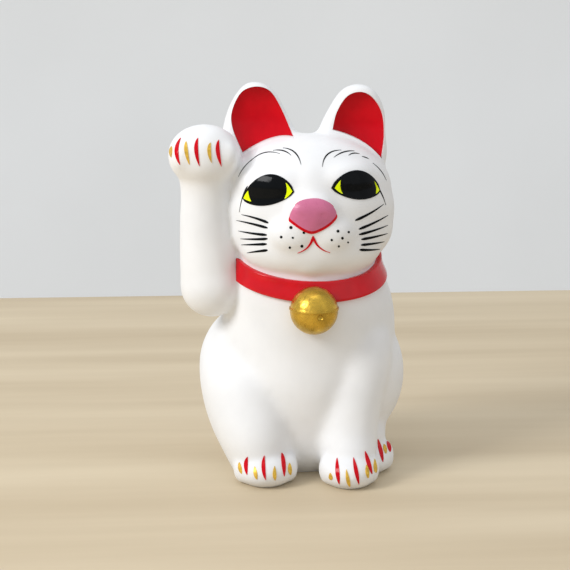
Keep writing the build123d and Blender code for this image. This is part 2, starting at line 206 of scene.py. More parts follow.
muzzle_spots = [   # right, up, radius
    (-8.3, -14.9, 0.55), (-3.5, -16.8, 0.45), (-11.9, -18.4, 0.45), (-7.6, -18.7, 0.36),
    (-8.7, -22.3, 0.4), (-4.2, -21.8, 0.5), (9.2, -16.2, 0.5), (13.3, -16.5, 0.4),
    (10.9, -18.8, 0.45), (6.9, -19.5, 0.4), (13.1, -20.3, 0.3), (9.6, -21.8, 0.36),
]
toe_lines = [   # raised paw, right hind foot, forefoot, left hind foot
    ((-49.7, 19.1), (-51.1, 14.3), (-49.9, 8.9)), ((-43.1, 18.8), (-43.7, 14.4), (-42.5, 8.3)),
    ((-35.4, 18.2), (-35.7, 14.0), (-34.4, 8.3)),
    ((-24.8, -102.1), (-25.4, -105.2), (-24.9, -108.8)), ((-18.4, -101.5), (-18.7, -105.8), (-17.8, -110.5)),
    ((-11.8, -100.9), (-11.1, -104.6), (-10.8, -109.4)),
    ((9.5, -102.5), (9.5, -107.3), (10.2, -112.1)), ((15.6, -102.2), (16.5, -107.0), (17.6, -112.1)),
    ((20.2, -100.1), (21.4, -104.3), (22.7, -108.5)),
    ((25.9, -97.0), (27.0, -101.4), (27.8, -105.7)), ((29.9, -98.6), (30.7, -100.4), (31.0, -102.4)),
]
paw_claws = [
    ((-53.2, 16.1), (-53.6, 14.3), (-53.3, 11.9)), ((-47.5, 17.6), (-47.5, 14.0), (-46.3, 8.9)),
    ((-38.4, 17.0), (-38.9, 14.0), (-38.0, 9.5)),
]
foot_claws = [   # right hind foot, forefoot
    ((-27.9, -105.2), (-27.7, -106.7), (-27.1, -108.5)), ((-21.9, -106.4), (-21.7, -108.2), (-21.2, -110.1)),
    ((-14.5, -106.4), (-14.5, -108.5), (-14.3, -110.5)), ((-8.8, -105.5), (-8.7, -107.1), (-8.4, -109.1)),
    ((6.9, -108.5), (7.0, -109.7), (7.2, -110.6)), ((13.0, -107.6), (13.4, -110.3), (14.2, -112.8)),
    ((20.6, -105.8), (20.8, -107.6), (21.1, -109.7)), ((24.0, -104.3), (24.1, -106.4), (24.4, -108.2)),
]
left_foot_claw = ((28.5, -99.4), (28.9, -101.0), (29.2, -102.8))
claw_draw_up, claw_draw_down = 1.45, 1.1   # how much the brush draws a foot's claw out, from its middle


film_root = 0.35      # how far a film of paint reaches into the clay
film_start = 60.0     # how far in front of the clay a film starts before it is laid on


# ---- Modelling steps ---------------------------------------------------------------------------------


def only(*pieces):
    """Selects just these pieces, with the first one active."""
    bpy.ops.object.select_all(action="DESELECT")
    for piece in pieces:
        piece.select_set(True)
    bpy.context.view_layer.objects.active = pieces[0]


def settle(piece):
    """Moves a piece's place, turn and stretch into its mesh."""
    only(piece)
    bpy.ops.object.transform_apply(location=True, rotation=True, scale=True)
    return piece


def egg(centre, size, turn=(0, 0, 0), facets=1):
    """An egg of three full sizes, turned in degrees about its own middle."""
    bpy.ops.object.select_all(action="DESELECT")
    bpy.ops.mesh.primitive_uv_sphere_add(
        segments=40 * facets, ring_count=20 * facets, radius=0.5, location=Vector(centre) * MM,
        rotation=[math.radians(angle) for angle in turn],
    )
    piece = bpy.context.object
    piece.scale = Vector(size) * MM
    return settle(piece)


def pick(piece, test):
    """Opens a piece in edit mode with just the faces that pass a test selected."""
    only(piece)
    bpy.ops.object.mode_set(mode="EDIT")
    bpy.ops.mesh.select_mode(type="FACE")
    bpy.ops.mesh.select_all(action="DESELECT")
    bpy.ops.object.mode_set(mode="OBJECT")
    for polygon in piece.data.polygons:
        polygon.select = test(polygon)
    bpy.ops.object.mode_set(mode="EDIT")


def join(pieces):
    """Makes one object of several."""
    only(*pieces)
    if len(pieces) > 1:
        bpy.ops.object.join()
    return bpy.context.object


def modify(piece, kind, **settings):
    """Gives a piece one modifier and applies it."""
    only(piece)
    modifier = piece.modifiers.new(kind.title(), kind)
    for key, value in settings.items():
        setattr(modifier, key, value)
    bpy.ops.object.modifier_apply(modifier=modifier.name)
    return piece


def fuse(pieces, voxel, soften=0):
    """Melts overlapping forms into one skin."""
    piece = join(pieces)
    modify(piece, "REMESH", mode="VOXEL", voxel_size=voxel * MM)
    if soften:
        modify(piece, "SMOOTH", factor=0.5, iterations=soften)
    return piece


def loft(rings):
    """A closed form through level ovals: (z, x, y, full width, full depth) each."""
    circles = []
    for z, x, y, width, depth in rings:
        bpy.ops.object.select_all(action="DESELECT")
        bpy.ops.mesh.primitive_circle_add(vertices=48, radius=0.5, location=Vector((x, y, z)) * MM)
        circle = bpy.context.object
        circle.scale = (width * MM, depth * MM, 1)
        circles.append(settle(circle))
    piece = join(circles)
    bpy.ops.object.mode_set(mode="EDIT")
    bpy.ops.mesh.select_all(action="SELECT")
    bpy.ops.mesh.bridge_edge_loops(number_cuts=3, interpolation="SURFACE", smoothness=1.0)
    bpy.ops.mesh.select_all(action="SELECT")
    bpy.ops.mesh.fill_holes(sides=0)
    bpy.ops.mesh.select_all(action="SELECT")
    bpy.ops.mesh.normals_make_consistent(inside=False)
    bpy.ops.object.mode_set(mode="OBJECT")
    return piece


def carve(piece, tool, operation="DIFFERENCE"):
    """Cuts one piece with another, which is used up."""
    modify(piece, "BOOLEAN", operation=operation, object=tool, solver="EXACT")
    bpy.data.objects.remove(tool)
    return piece


def copy_of(piece, name):
    """A copy with its own mesh."""
    twin = piece.copy()
    twin.data = piece.data.copy()
    twin.name = name
    bpy.context.scene.collection.objects.link(twin)
    return twin


def prism(outline, depth, plane):
    """A solid of a flat outline on a plane, half its depth in front of it and half behind."""
    origin, right, up, out = plane
    bpy.ops.object.select_all(action="DESELECT")
    bpy.ops.mesh.primitive_circle_add(vertices=len(outline), radius=MM, fill_type="NGON")
    piece = bpy.context.object
    for vertex, (u, v) in zip(piece.data.vertices, outline):
        vertex.co = (origin + right * u + up * v + out * depth / 2) * MM
    bpy.ops.object.mode_set(mode="EDIT")
    bpy.ops.mesh.select_all(action="SELECT")
    bpy.ops.mesh.extrude_region_move(TRANSFORM_OT_translate={"value": -out * depth * MM})
    bpy.ops.mesh.select_all(action="SELECT")
    bpy.ops.mesh.normals_make_consistent(inside=False)
    bpy.ops.object.mode_set(mode="OBJECT")
    return piece


def arc(start, middle, end, count=12):
    """Points of the parabola through three, without the last one."""
    start, middle, end = Vector(start), Vector(middle), Vector(end)
    pull = middle * 2 - (start + end) / 2
    return [
        tuple(start * (1 - t) ** 2 + pull * 2 * t * (1 - t) + end * t**2)
        for t in (i / count for i in range(count))
    ]


def on_plane(plane, u, v):
    """The place of a flat point on a plane, in metres."""
    origin, right, up, _ = plane
    return (origin + right * u + up * v) * MM


def ribbon(points, width, blunt=0.0):
    """A flat brush stroke on the face plane, through three points, with fine ends or a blunt start."""
    count = 14
    line = [Vector(p) for p in arc(*points, count)] + [Vector(points[2])]
    bpy.ops.object.select_all(action="DESELECT")
    bpy.ops.mesh.primitive_grid_add(x_subdivisions=2, y_subdivisions=count, size=MM)
    piece = bpy.context.object
    for i, point in enumerate(line):
        along = (line[min(i + 1, count)] - line[max(i - 1, 0)]).normalized()
        across = Vector((-along.y, along.x))
        t = i / count
        shape = min(1, 0.35 + 6 * t) * (1 - t) ** blunt if blunt else math.sin(math.pi * t) ** 0.7
        half = max(0.06, width / 2 * shape)
        for side in (-1, 0, 1):
            vertex = piece.data.vertices[3 * i + 1 + side]
            vertex.co = on_plane(face, *(point - across * half * side))
    return piece


def patch(outline, cuts, plane=None):
    """A flat patch of paint inside an outline, fine enough to bend over the clay."""
    plane = plane or face
    bpy.ops.object.select_all(action="DESELECT")
    bpy.ops.mesh.primitive_circle_add(vertices=len(outline), radius=MM, fill_type="TRIFAN")
    piece = bpy.context.object
    us, vs = zip(*outline)
    hub = (sum(us) / len(us), sum(vs) / len(vs))
    rim = [vertex for vertex in piece.data.vertices if vertex.co.length > MM / 2]
    for vertex in piece.data.vertices:
        vertex.co = on_plane(plane, *hub)
    for vertex, point in zip(rim, outline):
        vertex.co = on_plane(plane, *point)
    if cuts:
        only(piece)
        bpy.ops.object.mode_set(mode="EDIT")
        bpy.ops.mesh.select_all(action="SELECT")
        bpy.ops.mesh.subdivide(number_cuts=cuts)
        bpy.ops.object.mode_set(mode="OBJECT")
    return piece


def oval(centre, width, height, count):
    """Outline of an oval."""
    angles = [2 * math.pi * i / count for i in range(count)]
    return [(centre[0] + width / 2 * math.cos(a), centre[1] + height / 2 * math.sin(a)) for a in angles]


def curve_through(points, count=8, closed=True):
    """A smooth outline through a few points, closed or from the first to the last."""
    points = [Vector(p) for p in points]
    ends = [points[-1], points[0], points[1]] if closed else [points[0], points[-1]]
    points = [ends[0], *points, *ends[1:]]
    smooth = []
    for before, start, end, after in zip(points, points[1:], points[2:], points[3:]):
        for step in range(count):
            t = step / count
            pull = (end - before) * t
            bend = (2 * before - 5 * start + 4 * end - after) * t**2
            twist = (3 * start - before - 3 * end + after) * t**3
            smooth.append(tuple((2 * start + pull + bend + twist) / 2))
    return smooth


def plate(outline, y, half, round_edge):
    """A thick plate with a round edge, standing in the plane that faces -Y."""
    bpy.ops.object.select_all(action="DESELECT")
    bpy.ops.curve.primitive_bezier_circle_add(radius=MM)
    piece = bpy.context.object
    curve = piece.data
    curve.dimensions, curve.fill_mode = "2D", "BOTH"
    curve.splines.clear()
    spline = curve.splines.new("POLY")
    points = curve_through(outline)
    spline.points.add(len(points) - 1)
    spline.use_cyclic_u = True
    for point, (x, z) in zip(spline.points, points):
        point.co = (x * MM, z * MM, 0, 1)
    curve.extrude, curve.bevel_depth, curve.bevel_resolution = half * MM, round_edge * MM, 4
    curve.offset = -round_edge * MM
    piece.rotation_euler = (math.radians(90), 0, 0)
    piece.location = (0, y * MM, 0)
    only(piece)
    bpy.ops.object.convert(target="MESH")
    piece = settle(bpy.context.object)
    modify(piece, "WELD", merge_threshold=0.01 * MM)
    return piece


def dish_outline(node):
    """The outline of an ear's dish: a curve up and over, closed by an arc below."""
    side, middle = ear_dishes[node]
    return curve_through(side, 6, closed=False) + arc(side[-1], middle, side[0])


def dish_prism(node):
    """The outline of an ear's dish, carried through the ear."""
    return prism(dish_outline(node), 34.0, front)


def dish_egg(node):
    """The egg whose back is the floor of an ear's dish."""
    xs, zs = zip(*ear_dishes[node][0])
    middle = Vector(((min(xs) + max(xs)) / 2, -8.3, (min(zs) + max(zs)) / 2 + 1.0))
    return egg(middle, (38, 17.6, 44), facets=3)


def slab(bottom, top):
    """A wide level tool between two heights."""
    bpy.ops.object.select_all(action="DESELECT")
    bpy.ops.mesh.primitive_cube_add(size=MM, location=(0, 0, (bottom + top) / 2 * MM))
    piece = bpy.context.object
    piece.scale = (200, 200, top - bottom)
    return settle(piece)


def drum(centre, radius, tall):
    """A round upright tool."""
    bpy.ops.object.select_all(action="DESELECT")
    bpy.ops.mesh.primitive_cylinder_add(
        vertices=96, radius=radius * MM, depth=tall * MM, location=Vector(centre) * MM
    )
    return settle(bpy.context.object)


def lay(name, flats, coats, paint, slot, *nodes, plane=None):
    """Lays flat strokes and patches on the clay as films of enamel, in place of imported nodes."""
    out = (plane or face)[3]
    root = film_root * MM
    proud = coats * bpy.context.scene.cat_paint.film
    film = join(flats)
    pick(film, lambda polygon: polygon.normal.dot(out) < 0)
    bpy.ops.mesh.flip_normals()
    bpy.ops.mesh.select_all(action="SELECT")
    bpy.ops.transform.translate(value=out * film_start * MM)
    bpy.ops.object.mode_set(mode="OBJECT")
    modify(film, "SHRINKWRAP", target=made["skin"], wrap_method="PROJECT",
           use_negative_direction=True, use_positive_direction=False)
    modify(film, "SOLIDIFY", thickness=proud + root, offset=2 * proud / (proud + root) - 1)
    return finish(film, name, finishes[paint], slot, *nodes)


def finish(piece, name, material, slot, *nodes, angle=35):
    """Names a piece, gives it its paint and puts it in the frame."""
    piece.name = name
    piece.data.name = name
    only(piece)
    bpy.ops.object.shade_smooth_by_angle(angle=math.radians(angle))
    piece.data.materials.clear()
    piece.data.materials.append(material)
    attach(piece, "cat")
    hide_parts(*nodes)
    return piece


# ---- Finishes ------------------------------------------------------------------------------------------


class Finish:
    """A material's node tree, built step by step on object coordinates."""

    def __init__(self, name, roughness, coat=0.0, metallic=0.0, shine=0.3):
        self.material = bpy.data.materials.new(name)
        self.material.use_nodes = True
        self.nodes = self.material.node_tree.nodes
        self.links = self.material.node_tree.links
        self.shader = self.nodes["Principled BSDF"]
        self.shader.inputs["Roughness"].default_value = roughness
        self.shader.inputs["Coat Weight"].default_value = coat
        self.shader.inputs["Coat Roughness"].default_value = 0.08
        self.shader.inputs["Specular IOR Level"].default_value = shine
        self.shader.inputs["Metallic"].default_value = metallic
        self.place = self.nodes.new("ShaderNodeTexCoord").outputs["Object"]

    def stretched(self, scale, centre=(0, 0, 0)):
        """Object coordinates about a centre, scaled along each axis."""
        mapping = self.nodes.new("ShaderNodeMapping")
        mapping.vector_type = "POINT"
        mapping.inputs["Scale"].default_value = scale
        mapping.inputs["Location"].default_value = [-c * s for c, s in zip(centre, scale)]
        self.links.new(self.place, mapping.inputs["Vector"])
        return mapping.outputs["Vector"]

    def noise(self, size, detail=4.0, vector=None):
        """Noise whose lumps are about as large as a size in millimetres."""
        node = self.nodes.new("ShaderNodeTexNoise")
        node.inputs["Scale"].default_value = 1 / (size * MM)
        node.inputs["Detail"].default_value = detail
        node.inputs["Roughness"].default_value = 0.5
        self.links.new(vector or self.place, node.inputs["Vector"])
        return node.outputs["Fac"]

    def ramp(self, factor, low, high, start, end):
        """Two colours or greys, blended between two levels of a factor."""
        node = self.nodes.new("ShaderNodeValToRGB")
        node.color_ramp.elements[0].position = start
        node.color_ramp.elements[1].position = end
        node.color_ramp.elements[0].color = self.rgba(low)
        node.color_ramp.elements[1].color = self.rgba(high)
        self.links.new(factor, node.inputs["Fac"])
        return node.outputs["Color"]

    @staticmethod
    def rgba(value):
        """A grey or a colour as four numbers."""
        return (value, value, value, 1) if isinstance(value, float) else (*value, 1)

    def colour(self, output):
        """Drives the base colour."""
        self.links.new(output, self.shader.inputs["Base Color"])

    def roughness(self, output):
        """Drives the roughness."""
        self.links.new(output, self.shader.inputs["Roughness"])

    def bump(self, *layers):
        """Relief from (factor, height in millimetres) layers, one over another."""
        normal = None
        for factor, height in layers:
            node = self.nodes.new("ShaderNodeBump")
            node.inputs["Strength"].default_value = 1.0
            node.inputs["Distance"].default_value = height * MM
            self.links.new(factor, node.inputs["Height"])
            if normal:
                self.links.new(normal, node.inputs["Normal"])
            normal = node.outputs["Normal"]
        self.links.new(normal, self.shader.inputs["Normal"])


def tint(colour, factor):
    """A colour made lighter or darker."""
    return tuple(min(1.0, c * factor) for c in colour)


def clay_finish(colour):
    """Matt white engobe: cloudy, with a fine tooth, and duller in patches."""
    made = Finish("white engobe", 0.6)
    cloud = made.noise(22.0, 3.0)
    made.colour(made.ramp(cloud, tint(colour, 0.955), tint(colour, 1.02), 0.35, 0.65))
    made.roughness(made.ramp(made.noise(9.0), 0.50, 0.66, 0.3, 0.7))
    made.bump((made.noise(5.0, 3.0), 0.06), (made.noise(0.5, 2.0), 0.012))
    return made.material


def enamel_finish(name, colour, wave=2.4, depth=0.04, roughness=0.16, shade=0.9, shine=0.16):
    """Glossy enamel with the soft waves that a brush leaves."""
    made = Finish(name, roughness, coat=0.04, shine=shine)
    brushed = made.stretched((1.0, 0.6, 0.35))
    made.colour(made.ramp(made.noise(9.0, 3.0), tint(colour, shade), tint(colour, 1.06), 0.35, 0.65))
    made.roughness(made.ramp(made.noise(3.0), roughness * 0.8, roughness * 1.3, 0.3, 0.7))
    made.bump((made.noise(wave, 2.0, brushed), depth))
    return made.material


def gold_finish(name, colour, centre):
    """Gold paint, streaked by the brush in arcs round a centre."""
    made = Finish(name, 0.3, metallic=0.9)
    rings = made.nodes.new("ShaderNodeTexWave")
    rings.wave_type = "RINGS"
    rings.rings_direction = "SPHERICAL"
    rings.inputs["Scale"].default_value = 150.0
    rings.inputs["Distortion"].default_value = 9.0
    rings.inputs["Detail"].default_value = 6.0
    rings.inputs["Detail Scale"].default_value = 2.2
    made.links.new(made.stretched((1.0, 1.0, 1.0), centre), rings.inputs["Vector"])
    streak = rings.outputs["Fac"]
    made.colour(made.ramp(made.noise(5.0, 6.0), tint(colour, 0.72), tint(colour, 1.12), 0.35, 0.65))
    made.roughness(made.ramp(streak, 0.38, 0.26, 0.2, 0.8))
    made.bump((streak, 0.018), (made.noise(1.6, 4.0), 0.09), (made.noise(0.5, 2.0), 0.015))
    return made.material


def claw_finish(colour):
    """The same gold, brushed on thin: duller, paler and patchy."""
    made = Finish("thin gold paint", 0.42, metallic=0.45)
    made.colour(made.ramp(made.noise(1.2, 4.0), tint(colour, 0.85), tint(colour, 1.35), 0.3, 0.7))
    made.roughness(made.ramp(made.noise(0.8), 0.36, 0.5, 0.3, 0.7))
    made.bump((made.noise(0.5, 2.0), 0.02))
    return made.material


finishes = {}


def make_finishes(paints):
    """One material for each paint, made once."""
    red, black, gold = tuple(paints.red), tuple(paints.black), tuple(paints.gold)
    streak_centre = (bell_low + bell_high) / 2 * MM + Vector((0.006, -0.004, -0.004))
    finishes["clay"] = clay_finish(tuple(paints.clay))
    finishes["red"] = enamel_finish("red enamel", red)
    finishes["collar"] = enamel_finish("glossy red enamel", red, roughness=0.13, shine=0.35)
    finishes["pink"] = enamel_finish("pink enamel", tuple(paints.pink), roughness=0.3, shine=0.3)
    finishes["yellow"] = enamel_finish("yellow enamel", tuple(paints.yellow), shade=0.95)
    finishes["black"] = enamel_finish("black enamel", black, depth=0.06, roughness=0.1, shine=0.08)
    finishes["ink"] = enamel_finish("black line", black, wave=1.2, roughness=0.5, shine=0.08)
    finishes["gold"] = gold_finish("gold paint", gold, streak_centre)
    finishes["claw gold"] = claw_finish(gold)
    stopper = Finish("soft stopper", 0.5)
    stopper.colour(stopper.ramp(stopper.noise(8.0), (0.66, 0.65, 0.60), (0.74, 0.73, 0.69), 0.3, 0.7))
    stopper.bump((stopper.noise(0.8, 3.0), 0.03))
    finishes["stopper"] = stopper.material


# ---- The pieces ----------------------------------------------------------------------------------------

made = {}


class CAT_OT_clay(bpy.types.Operator):
    """Shape the white clay body, with its ears, raised arm, feet and tail, and cut its openings"""

    bl_idname = "cat.clay"
    bl_label = "Shape the Clay"

    def execute(self, context):
        settings = context.scene.cat_clay
        make_finishes(context.scene.cat_paint)
        torso = self.torso()
        head = self.head()
        arm = self.arm()
        feet = self.feet()
        made["neck"] = fuse([copy_of(torso, "neck torso"), copy_of(head, "neck head")], 1.6, 6)
        skin = fuse([torso, head, arm, feet, self.tail()], settings.grain / MM, settings.soften)
        self.pierce(skin, settings)
        made["skin"] = skin
        finish(skin, "clay_body", finishes["clay"], "white_clay", "body_casting", "raised_arm", "tail")
        return {"FINISHED"}

    def pierce(self, skin, settings):
        """Hollows the casting and cuts the ear dishes, the coin slot and the stopper's hole."""
        wall, floor_top = settings.wall / MM, 7.5
        recess_radius, recess_depth, hole_radius = plug_high.x - plug_x + 2.3, 3.0, 15.0
        inside = [
            loft([(floor_top, spine_x, 9, 48, 46), (16, spine_x, 10, 54, 51), (34, spine_x, 10, 63, 52),
                  (50, spine_x, 5, 63, 51), (64, spine_x, -0.5, 62, 50), (82, spine_x, -2.5, 49, 43),
                  (96, spine_x, -4, 40, 36)]),
            egg((head_x, -5, 105), (66 - 2 * wall, 54 - 2 * wall, 52 - 2 * wall)),
        ]
        tool = fuse(inside, 2.5)
        for radius, top in ((recess_radius, recess_depth), (hole_radius, floor_top + 1)):
            carve(tool, drum((plug_x, plug_y, top / 2 - 1), radius, top + 2), "UNION")
        carve(tool, self.slot(settings), "UNION")
        carve(tool, slab(-20, 0), "UNION")
        dishes = [carve(dish_prism(node), dish_egg(node), "INTERSECT") for node in ear_dishes]
        carve(skin, join([tool, *dishes]))

    def slot(self, settings):
        """A round-ended bar that cuts the coin slot in the back of the head."""
        half, radius = settings.slot_length / MM / 2, settings.slot_width / MM / 2
        middle, depth = (head_x, 22, 112.0), 30.0
        outline = [
            (side * (half - radius) + radius * math.sin(a), radius * math.cos(a))
            for side, start in ((1, 0), (-1, math.pi))
            for a in (start + math.pi * i / 10 for i in range(11))
        ]
        level = (Vector(middle), Vector((1, 0, 0)), Vector((0, 0, 1)), Vector((0, 1, 0)))
        return prism(outline, depth, level)

    def torso(self):
        """Trunk, the right leg, the left haunch and the one foreleg that stands."""
        trunk = loft(
            [
                (-2, spine_x, 8, 52, 46),
                (6, spine_x, 8, 56, 60),
                (16, spine_x, 7, 60, 67),
                (34, spine_x + 0.5, 5, 70, 72),
                (50, spine_x + 1.5, 2, 71, 65),
                (64, spine_x + 2.4, -0.5, 67.5, 60),
                (72, spine_x + 1.6, -1.5, 65, 57),
                (82, spine_x + 0.6, -2.5, 58, 52),
                (96, spine_x, -4, 50, 44),
            ]
        )
        foreleg = loft(
            [
                (0.5, 21.6, -25, 16, 20),
                (9, 22, -25.5, 21, 26),
                (20, 22.4, -23, 22, 23),
                (30, 23.6, -20.5, 24, 24),
                (40, 25.2, -17.5, 26.5, 26),
                (52, 25.8, -13, 28, 28),
                (66, 23, -8, 26, 26),
            ]
        )
        thigh = loft(
            [
                (-1, -11.5, -14, 20, 36),
                (3, -11.6, -14, 24, 42),
                (10, -12.5, -12, 29.6, 46),
                (14, -13.2, -10.5, 32.4, 49),
                (20, -14, -8.5, 36, 51),
                (30, -15, -5.2, 39.4, 50.5),
                (40, -15.4, -2, 40.4, 47.5),
                (46, -16.4, 0.5, 37, 41),
                (51, -18.2, 2.5, 29.6, 34),
                (56, -19, 4, 21.6, 26),
                (60, -19, 5, 13, 18),
            ]
        )
        forms = [
            trunk,
            foreleg,
            thigh,
            egg((body_high.x - 23, 2, 36.4), (46, 54, 56)),
            egg((28.6, -4, 13), (21, 40, 26)),
        ]
        return fuse(forms, 1.4, 10)

    def head(self):
        """Skull, cheeks, jaw, muzzle, chin, nose, brows and ears, with two nostrils."""
        x = head_x
        forms = [
            egg((x + 0.1, -4, 111.6), (65, 54, 42.6)),
            egg((x + 0.4, -5.5, 104), (66.6, 55, 50)),
            egg((x + 0.4, -6, 97.4), (65.6, 55, 40)),
            egg((x, -14, 91.5), (56, 40, 30)),
            egg((x - 0.6, -27.2, 110.5), (19, 12.5, 32), (-20, 0, 0)),
            egg((x - 1.2, -32.8, 106.6), (18.4, 10, 12.4)),
            egg((x - 1.4, -32.6, 102.8), (9, 9, 9)),
            egg((x - 1.0, -25.2, 86.8), (21, 15, 13)),
        ]
        for side in (-1, 1):
            forms.append(egg((x - 1.0 + side * 6.6, -28.0, 97.6), (20, 16.4, 16.5)))
            brow = (x - 0.6 + side * 14.2, -21.6, 115.3 + side * 0.7)
            forms.append(egg(brow, (27, 14, 17), (0, 0, side * 28)))
        head = fuse([*forms, *self.ears()], 1.1, 15)
        for side in (-1, 1):
            carve(head, egg((x - 1.4 + side * 3.7, -37.6, 105.4), (3.0, 3.0, 2.4)))
        return head

    def ears(self):
        """Two round-edged ears, each from a closed curve that is given a thick, rounded edge."""
        return [plate(outline, 1.5, 2.4, 3.2) for outline in (right_ear, left_ear)]

    def arm(self):
        """The raised forearm and its paw."""
        elbow = egg((arm_low.x + 16.6, -8, 74.6), (25, 25, 26))
        forearm = loft(
            [
                (72, arm_low.x + 16.6, -8, 24, 24),
                (84, arm_low.x + 15.6, -8.2, 22.8, 23),
                (100, arm_low.x + 14.4, -8.6, 20, 20.6),
                (112, arm_low.x + 14.6, -9, 19.6, 19.4),
                (118, arm_low.x + 14.5, -10, 21.2, 20.4),
                (124, arm_low.x + 14.3, -11, 25, 22),
            ]
        )
        paw = egg((arm_low.x + 14.2, -12, arm_high.z - 11.8), (28.4, 24, 24))
        toes = [
            egg((arm_low.x + 5.2 + 6.1 * i, -18.6, arm_high.z - 11.4), (7.2, 9.0, 11.6)) for i in range(4)
        ]
        return fuse([elbow, forearm, paw, *toes], 1.1, 16)

    def feet(self):
        """Forefoot and the two hind feet."""
        plan = (   # middle, width, toe and length
            (21.5, 23.4, body_low.y, 27),
            (-10.6, 25, -39.8, 30),
            (30.4, 21.4, -27.4, 32),
        )
        forms = []
        for x, width, toe, long in plan:
            forms.append(egg((x, toe + long / 2, 5.6), (width, long, 15.4)))
            for i in range(4):
                share = (i - 1.5) / 4
                place = (x + width * share, toe + 6.6 + 40 * share * share, 5.8)
                forms.append(egg(place, (width * 0.27, 11, 12)))
        return fuse(forms, 1.1, 12)

    def tail(self):
        """A short tail, curled up against the rump."""
        beads, root_inset, curl, root_z, rise, bury = 9, 6.5, 12, 6.0, 21, 5.6
        forms = []
        for i in range(beads):
            t = i / (beads - 1)
            x = tail_high.x - root_inset - curl * t * t
            forms.append(egg((x, tail_high.y - bury, root_z + rise * t), (11, 11, 12)))
        return fuse(forms, 1.1, 6)


class CAT_OT_collar(bpy.types.Operator):
    """Lay the red collar round the neck"""

    bl_idname = "cat.collar"
    bl_label = "Lay the Collar"

    def execute(self, context):
        width, depth, tall = collar_high.x - spine_x + 3, 32.5, 9.0
        root = 1.5 * MM
        bpy.ops.object.select_all(action="DESELECT")
        bpy.ops.mesh.primitive_cylinder_add(vertices=128, radius=MM, depth=tall * MM, end_fill_type="NOTHING")
        band = bpy.context.object
        band.scale = (width, depth, 1)
        settle(band)
        only(band)
        bpy.ops.object.mode_set(mode="EDIT")
        bpy.ops.mesh.select_mode(type="EDGE")
        bpy.ops.mesh.select_all(action="SELECT")
        bpy.ops.mesh.subdivide(number_cuts=4)
        bpy.ops.object.mode_set(mode="OBJECT")
        band.rotation_euler = (math.radians(16.5), math.radians(2.4), 0)
        band.location = Vector((spine_x + 1, -3, 83.2)) * MM
        settle(band)
        modify(band, "SHRINKWRAP", target=made["neck"], wrap_method="PROJECT",
               use_negative_direction=True, use_positive_direction=False)
        modify(band, "SMOOTH", factor=0.5, iterations=6)
        proud = context.scene.cat_paint.collar
        modify(band, "SOLIDIFY", thickness=proud + root, offset=2 * proud / (proud + root) - 1)
        modify(band, "BEVEL", width=0.5 * MM, segments=3, limit_method="ANGLE", angle_limit=math.radians(50))
        bpy.data.objects.remove(made.pop("neck"))
        finish(band, "red_collar", finishes["collar"], "red_enamel", "collar")
        return {"FINISHED"}


class CAT_OT_bell(bpy.types.Operator):
    """Hang the gold bell on the collar"""

    bl_idname = "cat.bell"
    bl_label = "Hang the Bell"

    def execute(self, context):
        middle, radius = (bell_low + bell_high) / 2, (bell_high.z - bell_low.z) / 2
        middle += Vector((0.3, bell_low.y + radius - middle.y, -0.7))
        bpy.ops.object.select_all(action="DESELECT")
        bpy.ops.mesh.primitive_uv_sphere_add(
            segments=96, ring_count=60, radius=radius * MM, location=middle * MM
        )
        bell = settle(bpy.context.object)
        ridge_low, ridge_high, ridge_proud = 0.4, 1.5, 0.35
        pick(bell, lambda polygon: ridge_low < polygon.center.z / MM - middle.z < ridge_high)
        bpy.ops.mesh.extrude_region_shrink_fatten(TRANSFORM_OT_shrink_fatten={"value": ridge_proud * MM})
        bpy.ops.object.mode_set(mode="OBJECT")
        modify(bell, "BEVEL", width=0.16 * MM, segments=3, limit_method="ANGLE", angle_limit=math.radians(40))
        dimple = middle + Vector((1.6, -radius * 0.985, -0.9))
        carve(bell, egg(dimple, (2.4, 1.5, 2.4)))
        finish(bell, "gold_bell", finishes["gold"], "gold_paint", "bell")
        return {"FINISHED"}


class CAT_OT_face(bpy.types.Operator):
    """Paint the eyes, nose, whiskers, brows, spots and mouth, and a red band of painted shade below the nose
    """

    bl_idname = "cat.face"
    bl_label = "Paint the Face"

    def execute(self, context):
        black = "black", "black_enamel"
        for node, corners in eyes.items():
            lay(node + "_black", [patch(almond(*corners), 8)], 2, *black, node)
        lay("eye_yellow", [patch(corner(*points), 3) for points in yellow_corners], 3,
            "yellow", "yellow_enamel", "eye_corners")
        ink = "ink", "black_enamel"
        strokes = [ribbon(line, width) for *line, width in brows]
        lay("brow_lines", strokes, 1, *ink, "brow_strokes")
        strokes = [ribbon(line, 1.12, blunt=0.6) for line in whiskers]
        strokes += [ribbon(line, 0.55, blunt=0.7) for line in lashes]
        lay("whisker_lines", strokes, 1, *ink, "whiskers")
        spots = [patch(oval((u, v), 2.2 * r, 2.2 * r, 16), 0) for u, v, r in muzzle_spots]
        lay("freckles", spots, 1, *ink, "muzzle_spots")
        tip = curve_through(nose_outline, 4)
        corner_v, shade_drop, shade_spread = -7, 1.1, 1.05   # the red shows below the nose's corners only: painted shade below the nose's overhang
        nose_shade_outline = [(u * shade_spread, v - shade_drop if v < corner_v else v) for u, v in tip]
        lay("nose_pink", [patch(tip, 8)], 3, "pink", "pink_enamel", "nose")
        # The lips, and a red band below the nose that paints the shade of its overhang.
        lay("mouth_red_and_nose_shade", [patch(nose_shade_outline, 8), *[ribbon(line, 1.0, blunt=0.8) for line in lips]], 2,
            "red", "red_enamel", "mouth_line")
        return {"FINISHED"}


def almond(inner, outer, top, bottom):
    """Outline of an eye: two full arcs between its corners."""
    count, full = 20, 0.62
    inner, outer = Vector(inner), Vector(outer)
    outline = []
    for edge, start, end in ((top, inner, outer), (bottom, outer, inner)):
        rise = Vector(edge) - (inner + outer) / 2
        for i in range(count):
            t = i / count
            outline.append(tuple(start.lerp(end, t) + rise * math.sin(math.pi * t) ** full))
    return outline


def corner(tip, top, waist, bottom):
    """Outline of the yellow in one corner of an eye."""
    bow = [(Vector(tip) + Vector(end)) / 2 + (Vector(end) - Vector(waist)) * 0.12 for end in (top, bottom)]
    return arc(tip, bow[0], top, 6) + arc(top, waist, bottom, 8) + arc(bottom, bow[1], tip, 6)


